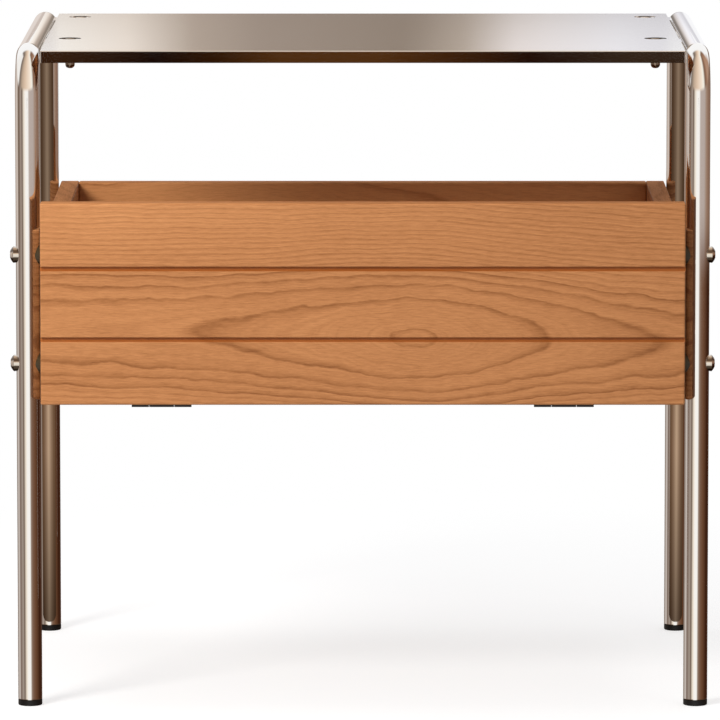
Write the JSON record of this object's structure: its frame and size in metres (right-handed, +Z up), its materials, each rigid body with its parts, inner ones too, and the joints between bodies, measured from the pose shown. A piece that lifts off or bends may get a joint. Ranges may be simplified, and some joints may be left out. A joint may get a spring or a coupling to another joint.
{
  "type": "magazine table with rack",
  "caption": "Low side table of bent chrome tube with a folded steel top and a cherry wood magazine rack between the legs, its grooved front a drop-down flap.",
  "frame": {"origin": "middle of the bounding box on the floor", "axes": "+Z up, front with the flap towards -Y, +X to the right seen from the front"},
  "size_m": [0.437, 0.3356, 0.4122],
  "materials": {
    "chrome_tube": "mirror chrome",
    "steel_sheet": "polished, slightly satin",
    "polished_fastener": "polished",
    "dark_fastener": "polished, darkened",
    "cherry_wood": "satin oil",
    "dowel_wood": "bare beech",
    "black_plastic": "matt",
    "brown_plastic": "dark brown, slightly glossy",
    "black_hinge_metal": "blackened steel",
    "insert_brass": "plain",
    "nickel": "nickel plated"
  },
  "bodies": {
    "table": {"left_tube_frame": "chrome_tube", "right_tube_frame": "chrome_tube", "front_left_foot": "black_plastic", "front_right_foot": "black_plastic", "rear_left_foot": "black_plastic", "rear_right_foot": "black_plastic", "top_sheet": "steel_sheet", "top_bolts": "dark_fastener", "top_nuts": "polished_fastener", "rack_left_side": "cherry_wood", "rack_right_side": "cherry_wood", "rack_rear_panel": "cherry_wood", "rack_bottom_panel": "cherry_wood", "rack_dowels": "dowel_wood", "left_rack_bolts": "dark_fastener", "right_rack_bolts": "dark_fastener", "left_outer_saddles": "dark_fastener", "right_outer_saddles": "dark_fastener", "left_spacer_saddles": "brown_plastic", "right_spacer_saddles": "brown_plastic", "left_threaded_inserts": "insert_brass", "right_threaded_inserts": "insert_brass", "left_hinge_body_leaf": "black_hinge_metal", "right_hinge_body_leaf": "black_hinge_metal", "left_hinge_pin": "black_hinge_metal", "right_hinge_pin": "black_hinge_metal", "hinge_body_screws": "black_hinge_metal", "catch_magnets": "nickel"},
    "flap": {"rack_front_flap": "cherry_wood", "left_hinge_flap_leaf": "black_hinge_metal", "right_hinge_flap_leaf": "black_hinge_metal", "hinge_flap_screws": "black_hinge_metal", "strike_discs": "nickel"}
  },
  "joints": [
    {"name": "flap_hinge", "type": "hinge", "parent": "table", "child": "flap", "pos_m": [0, -0.1525, 0.191], "axis": [1, 0, 0], "range_deg": [0, 175]}
  ]
}
